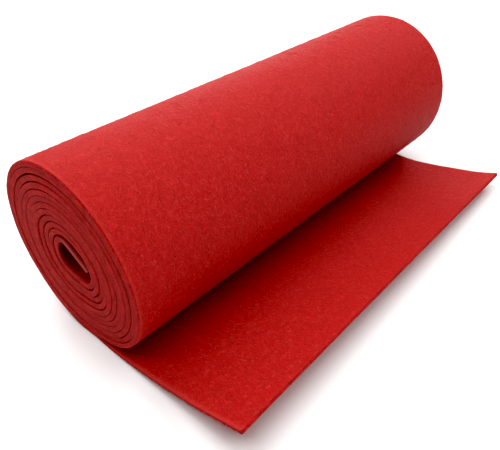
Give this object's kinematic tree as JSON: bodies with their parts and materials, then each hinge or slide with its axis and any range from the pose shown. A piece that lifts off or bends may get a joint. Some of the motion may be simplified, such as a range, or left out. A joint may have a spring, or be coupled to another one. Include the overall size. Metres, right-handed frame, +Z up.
{
  "type": "roll of felt",
  "caption": "Thick red felt wound into an open-centred roll, its loose outer end lying out from under the roll and curling up at the free edge.",
  "frame": {"origin": "on the flat spot that the roll rests on, under its axis, halfway along it", "axes": "+Y along the roll, away from the near end; +X towards the free edge of the loose end; +Z up"},
  "size_m": [0.1713, 0.3051, 0.1074],
  "materials": {
    "red_felt": "matte needle felt with short tangled fibres"
  },
  "bodies": {
    "root": {"felt_sheet": "red_felt"}
  },
  "joints": []
}
